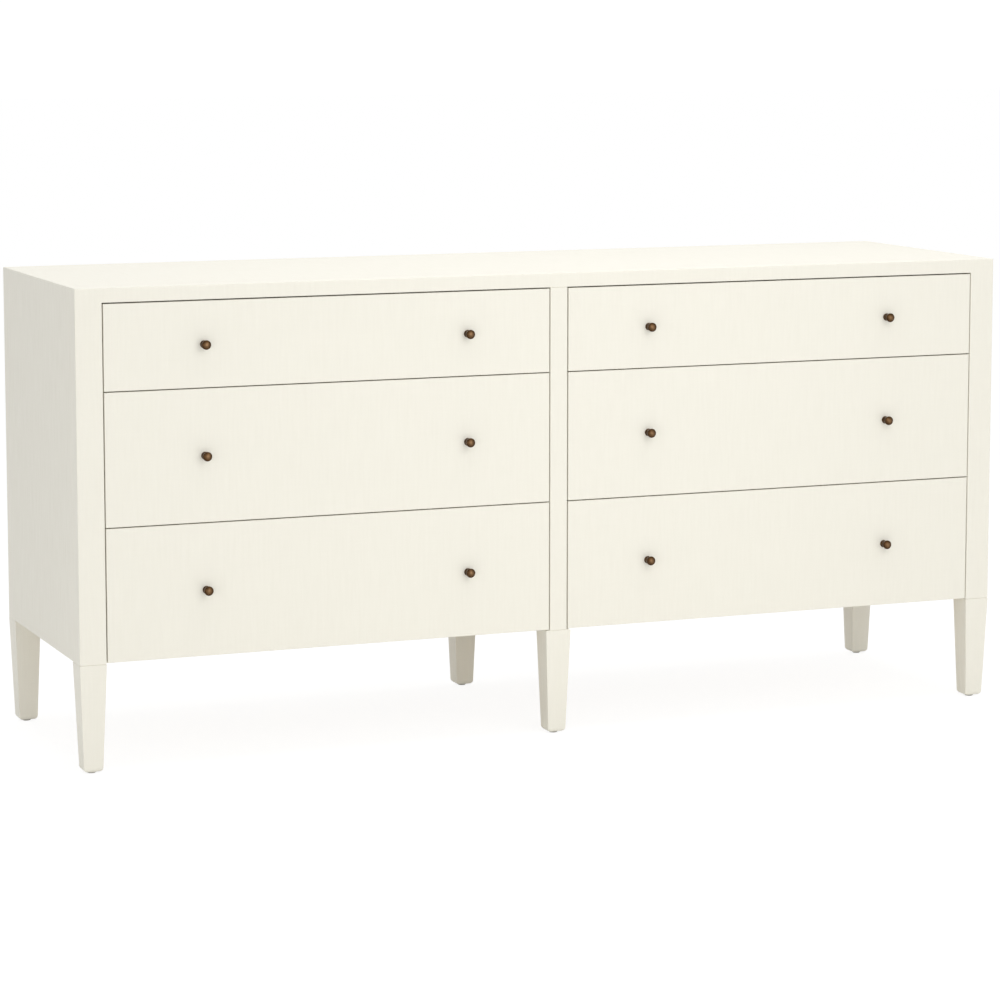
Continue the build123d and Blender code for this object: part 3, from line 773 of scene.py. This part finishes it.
class DRESSER_OT_knobs(bpy.types.Operator):
    """Turns the brass knobs, two for each drawer"""

    bl_idname = "dresser.knobs"
    bl_label = "Turn Knobs"

    def execute(self, context):
        settings = context.scene.dresser_knob
        material = aged_brass(context.scene.dresser_metal)
        around = np.ones((1, settings.around))
        for drawer in DRAWERS:
            places, radius, projection = knob_places(drawer)
            outline = knob_outline(settings, radius, projection)
            points = turned_points(outline[:, :1] * around, outline[:, 1:] * around, places, FORWARD)
            name = f"{drawer}_turned_knobs"
            knobs = turned_piece(name, points, material, f"{drawer}_drawer")
            give(knobs, "outline", row_values(outline_run(outline), points))
            # The crown's middle is painted bright: partly polish by hands, partly a painted highlight.
            give(knobs, "polish", row_values(knob_polish_and_highlight(outline, radius), points))
            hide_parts(f"{drawer}_drawer_knobs")
        return {"FINISHED"}


class DRESSER_OT_screws(bpy.types.Operator):
    """Puts cross recessed heads on the screws of the knobs, drawer fronts, slides and back panel"""

    bl_idname = "dresser.screws"
    bl_label = "Add Screw Heads"

    def heads(self, name, settings, size, sides, body):
        """One piece with all the heads of a kind; each side is a list of places and a normal."""
        points = np.concatenate([screw_heads(settings, *size, places, normal) for places, normal in sides])
        return turned_piece(name, points, self.material, body)

    def knob_screws(self, settings, drawer, inside):
        """Two heads behind the knobs, on the inside of the box front."""
        places = [(x, inside, z) for x, _, z in knob_places(drawer)[0]]
        size = (settings.knob_radius, settings.knob_rise)
        name = f"{drawer}_knob_screws"
        heads = self.heads(name, settings, size, [(places, BACKWARD)], f"{drawer}_drawer")
        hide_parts(f"{drawer}_drawer_knobs")

    def front_screws(self, settings, drawer, inside):
        """Four heads near the corners of the box front, which hold the drawer's face."""
        low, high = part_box(f"{drawer}_drawer_ends")
        columns = (low.x + settings.front_inset, high.x - settings.front_inset)
        rows = [low.z + part * (high.z - low.z) for part in (settings.front_lower, settings.front_upper)]
        places = [(x, inside, z) for x in columns for z in rows]
        size = (settings.board_radius, settings.board_rise)
        self.heads(f"{drawer}_front_screws", settings, size, [(places, BACKWARD)], f"{drawer}_drawer")

    def slide_screws(self, settings, drawer):
        """Heads in the hollow of each of the drawer's two slide members."""
        low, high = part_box(f"{drawer}_drawer_slides")
        box_low, box_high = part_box(f"{drawer}_drawer_sides")
        z = (low.z + high.z) / 2
        inset = settings.slide_inset
        along = np.linspace(low.y + inset, high.y - inset, settings.slide_count)
        left = [(box_low.x - settings.slide_gauge, y, z) for y in along]
        right = [(box_high.x + settings.slide_gauge, y, z) for y in along]
        size = (settings.board_radius, settings.board_rise)
        sides = [(left, (-1, 0, 0)), (right, (1, 0, 0))]
        self.heads(f"{drawer}_slide_screws", settings, size, sides, f"{drawer}_drawer")

    def back_screws(self, settings):
        """Rows of heads at the sides and the middle of the back panel."""
        low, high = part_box("back_panel_screws")
        edge = settings.board_radius
        columns = (low.x + edge, (low.x + high.x) / 2, high.x - edge)
        rows = np.linspace(low.z + edge, high.z - edge, settings.back_rows)
        places = [(x, high.y - settings.board_rise, z) for x in columns for z in rows]
        size = (settings.board_radius, settings.board_rise)
        heads = self.heads("back_panel_screw_heads", settings, size, [(places, BACKWARD)], "case")
        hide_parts("back_panel_screws")

    def execute(self, context):
        settings = context.scene.dresser_screw
        self.material = rolled_steel("plated_screw_steel", context.scene.dresser_metal.screw, Y_AXIS)
        for drawer in DRAWERS:
            _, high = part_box(f"{drawer}_drawer_knobs")
            inside = high.y - settings.knob_rise
            self.knob_screws(settings, drawer, inside)
            self.front_screws(settings, drawer, inside)
            self.slide_screws(settings, drawer)
        self.back_screws(settings)
        paint(["leg_bolts", "leg_inserts"], self.material)
        return {"FINISHED"}


class DRESSER_OT_slides(bpy.types.Operator):
    """Finishes the telescopic slides"""

    bl_idname = "dresser.slides"
    bl_label = "Finish Slides"

    def execute(self, context):
        material = rolled_steel("plated_slide_steel", context.scene.dresser_metal.steel, Y_AXIS)
        members = [f"{drawer}_{kind}_slides" for drawer in DRAWERS for kind in ("drawer", "middle")]
        paint(["cabinet_slides"] + members, material)
        return {"FINISHED"}


class DRESSER_OT_glides(bpy.types.Operator):
    """Finishes the foot glides"""

    bl_idname = "dresser.glides"
    bl_label = "Finish Foot Glides"

    def execute(self, context):
        paint(["foot_glides"], moulded_plastic(context.scene.dresser_metal))
        return {"FINISHED"}


class DRESSER_OT_stage(bpy.types.Operator):
    """Sets up the white floor, the soft light and the camera"""

    bl_idname = "dresser.stage"
    bl_label = "Set Up Stage"

    def floor(self, settings):
        """A level square under the dresser, white to the camera but for the shadow that falls on it."""
        finish = new_finish("studio_floor")
        finish.nodes.remove(finish.nodes["Principled BSDF"])
        shown = finish.seen()
        shaded = toned(settings.floor, settings.shadow)
        tone = finish.blend(shown, settings.floor_bounce, shaded)
        matt = finish.node("ShaderNodeBsdfDiffuse", {"Color": tone})
        white = 1.0 - settings.ambient * shaded[0]
        glow = finish.node("ShaderNodeEmission", {"Strength": finish.math("MULTIPLY", shown, white)})
        both = finish.node("ShaderNodeAddShader", {0: matt, 1: glow})
        finish.feed(finish.nodes["Material Output"].inputs["Surface"], both)
        corners = settings.floor_reach * np.array([[-1, -1, 0], [1, -1, 0], [1, 1, 0], [-1, 1, 0]], float)
        mesh = bpy.data.meshes.new("studio_floor")
        mesh.from_pydata(corners.tolist(), [], [(0, 1, 2, 3)])
        mesh.materials.append(finish.owner)
        floor = add_object("studio_floor", mesh)

    def world(self, settings):
        """White to the camera, softer as a light."""
        world = bpy.data.worlds.new("studio_white")
        bpy.context.scene.world = world
        finish = Finish(world)
        background = finish.nodes["Background"]
        finish.feed(background.inputs["Color"], (1.0, 1.0, 1.0))
        level = finish.span(finish.seen(), settings.ambient, settings.backdrop)
        finish.feed(background.inputs["Strength"], level)

    def softbox(self, settings, name):
        """A soft rectangular lamp that looks at the aim."""
        lamp = bpy.data.lights.new(f"{name}_softbox", "AREA")
        lamp.shape = "RECTANGLE"
        lamp.size, lamp.size_y = getattr(settings, f"{name}_size")
        lamp.energy = getattr(settings, f"{name}_power")
        box = add_object(f"{name}_softbox", lamp)
        place = Vector(getattr(settings, f"{name}_place"))
        box.location = place
        box.rotation_euler = (Vector(settings.aim) - place).to_track_quat("-Z", "Y").to_euler()

    def camera(self, settings):
        """A long lens in front of the dresser, to its left and above its top."""
        lens = bpy.data.cameras.new("studio_camera")
        lens.sensor_width = SENSOR_WIDTH
        lens.lens = settings.camera_lens
        lens.shift_y = settings.camera_shift
        lens.clip_end = VIEW_REACH
        camera = add_object("studio_camera", lens)
        camera.location = settings.camera_place
        level = math.cos(settings.camera_dip)
        right = math.sin(settings.camera_yaw) * level
        back = math.cos(settings.camera_yaw) * level
        ahead = Vector((right, back, -math.sin(settings.camera_dip)))
        camera.rotation_euler = ahead.to_track_quat("-Z", "Y").to_euler()
        bpy.context.scene.camera = camera

    def execute(self, context):
        settings = context.scene.dresser_stage
        context.scene.view_settings.view_transform = "Standard"
        self.floor(settings)
        self.world(settings)
        for name in SOFTBOXES:
            self.softbox(settings, name)
        self.camera(settings)
        return {"FINISHED"}


STEPS = (
    DRESSER_OT_wrap,
    DRESSER_OT_drawer_boxes,
    DRESSER_OT_inner_boards,
    DRESSER_OT_knobs,
    DRESSER_OT_screws,
    DRESSER_OT_slides,
    DRESSER_OT_glides,
    DRESSER_OT_stage,
)
GROUPS = {
    "dresser_wrap": DresserWrap,
    "dresser_wood": DresserWood,
    "dresser_metal": DresserMetal,
    "dresser_knob": DresserKnob,
    "dresser_screw": DresserScrew,
    "dresser_stage": DresserStage,
}


class DRESSER_PT_panel(bpy.types.Panel):
    """Lists the dresser's pieces and their settings"""

    bl_idname = "DRESSER_PT_panel"
    bl_label = "Dresser"
    bl_space_type = "VIEW_3D"
    bl_region_type = "UI"
    bl_category = "Dresser"

    def draw(self, context):
        for step in STEPS:
            self.layout.operator(step.bl_idname)
        for name, group in GROUPS.items():
            box = self.layout.box()
            settings = getattr(context.scene, name)
            for setting in group.__annotations__:
                box.prop(settings, setting)


def register():
    """Add the settings to the scene, then the operators and the panel."""
    for name, group in GROUPS.items():
        bpy.utils.register_class(group)
        setattr(bpy.types.Scene, name, PointerProperty(type=group))
    for step in STEPS:
        bpy.utils.register_class(step)
    bpy.utils.register_class(DRESSER_PT_panel)


def unregister():
    """Take away what register added, in the opposite order."""
    bpy.utils.unregister_class(DRESSER_PT_panel)
    for step in reversed(STEPS):
        bpy.utils.unregister_class(step)
    for name, group in reversed(GROUPS.items()):
        delattr(bpy.types.Scene, name)
        bpy.utils.unregister_class(group)


def main():
    """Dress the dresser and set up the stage."""
    register()
    bpy.ops.dresser.wrap()
    bpy.ops.dresser.drawer_boxes()
    bpy.ops.dresser.inner_boards()
    bpy.ops.dresser.knobs()
    bpy.ops.dresser.screws()
    bpy.ops.dresser.slides()
    bpy.ops.dresser.glides()
    bpy.ops.dresser.stage()
    bpy.context.view_layer.update()


if __name__ == "__main__":
    main()
